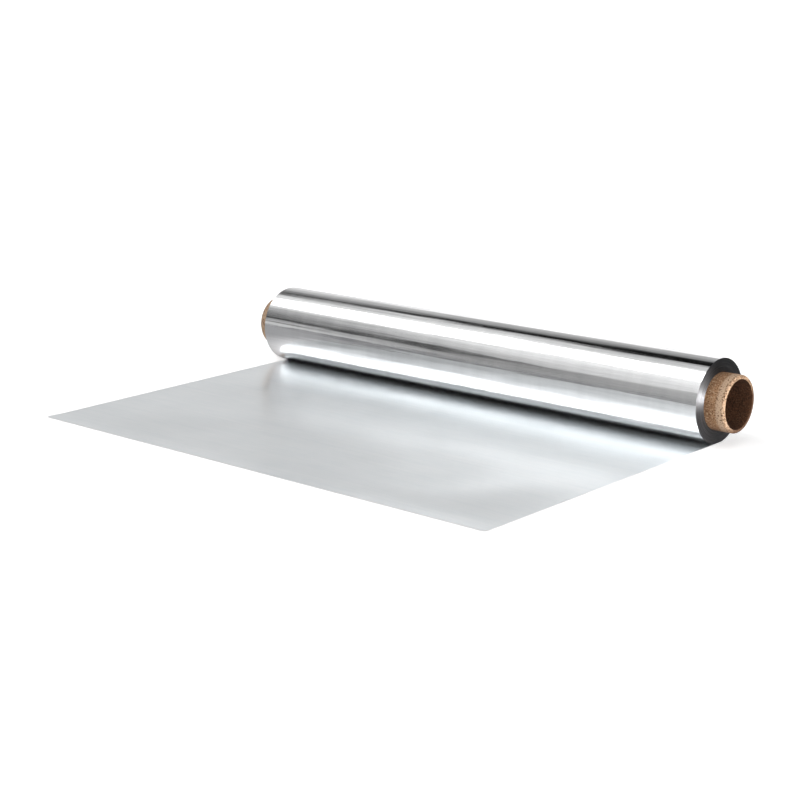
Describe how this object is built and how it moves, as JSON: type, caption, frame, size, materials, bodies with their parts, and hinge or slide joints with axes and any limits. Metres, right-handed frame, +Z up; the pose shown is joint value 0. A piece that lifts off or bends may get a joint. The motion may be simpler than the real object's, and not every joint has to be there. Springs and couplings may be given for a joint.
{
  "type": "aluminium foil roll",
  "caption": "Wide catering roll of aluminium foil wound on a paperboard core, with a length of foil unrolled flat on the table in front.",
  "frame": {"origin": "on the table, straight below the core's axis, halfway along the foil", "axes": "+X along the core, +Z up, the unrolled foil runs towards -Y"},
  "size_m": [0.484, 0.3085, 0.0647],
  "materials": {
    "paperboard": "raw kraft paperboard, spiral wound, with fibres showing on the cut ends",
    "foil": "rolled foil, bright on the outside of the roll and satin on the inner side"
  },
  "bodies": {
    "root": {"core_tube": "paperboard", "foil_web": "foil"}
  },
  "joints": []
}
